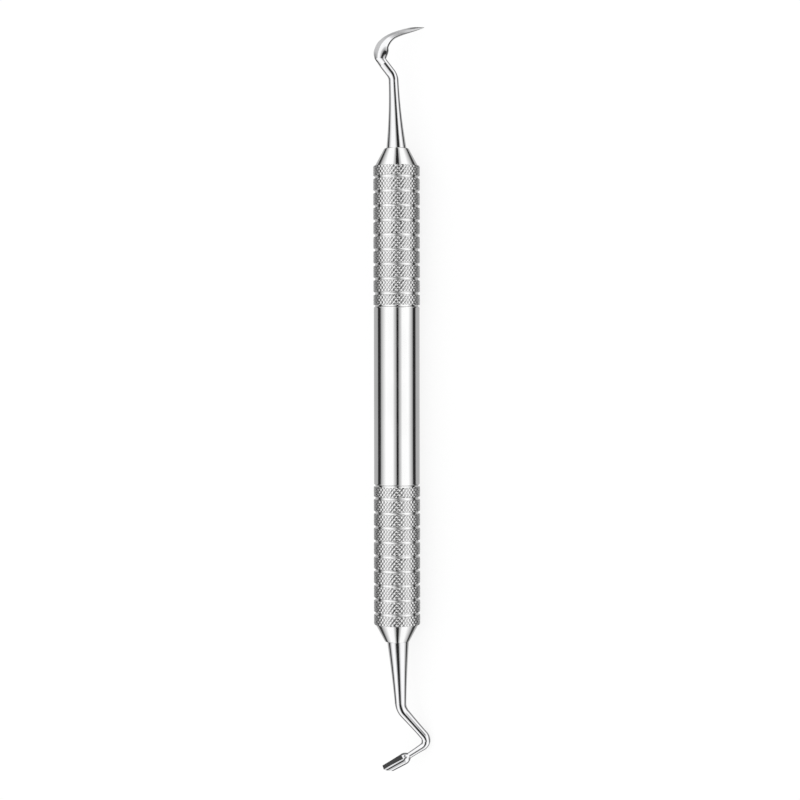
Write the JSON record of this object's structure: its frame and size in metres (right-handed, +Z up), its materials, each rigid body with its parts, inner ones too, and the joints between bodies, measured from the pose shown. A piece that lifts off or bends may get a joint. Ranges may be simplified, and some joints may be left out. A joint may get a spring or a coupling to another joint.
{
  "type": "sickle scaler",
  "caption": "Double-ended hand scaler of polished steel with a hooked sickle, a small half-round hoe and a round handle with diamond-knurled bands.",
  "frame": {"origin": "on the ground under the middle of the instrument as it lies", "axes": "+X along the handle towards the sickle, +Z up, as it lies on a table on its handle and on the hoe's elbow"},
  "size_m": [0.1596, 0.0106, 0.01],
  "materials": {
    "handle_steel": "mirror polished, knurl cut crisp",
    "forged_steel": "mirror polished, blade faces ground"
  },
  "bodies": {
    "root": {"handle_tube": "handle_steel", "sickle_end_cone": "handle_steel", "hoe_end_cone": "handle_steel", "sickle_end": "forged_steel", "hoe_end": "forged_steel"}
  },
  "joints": []
}
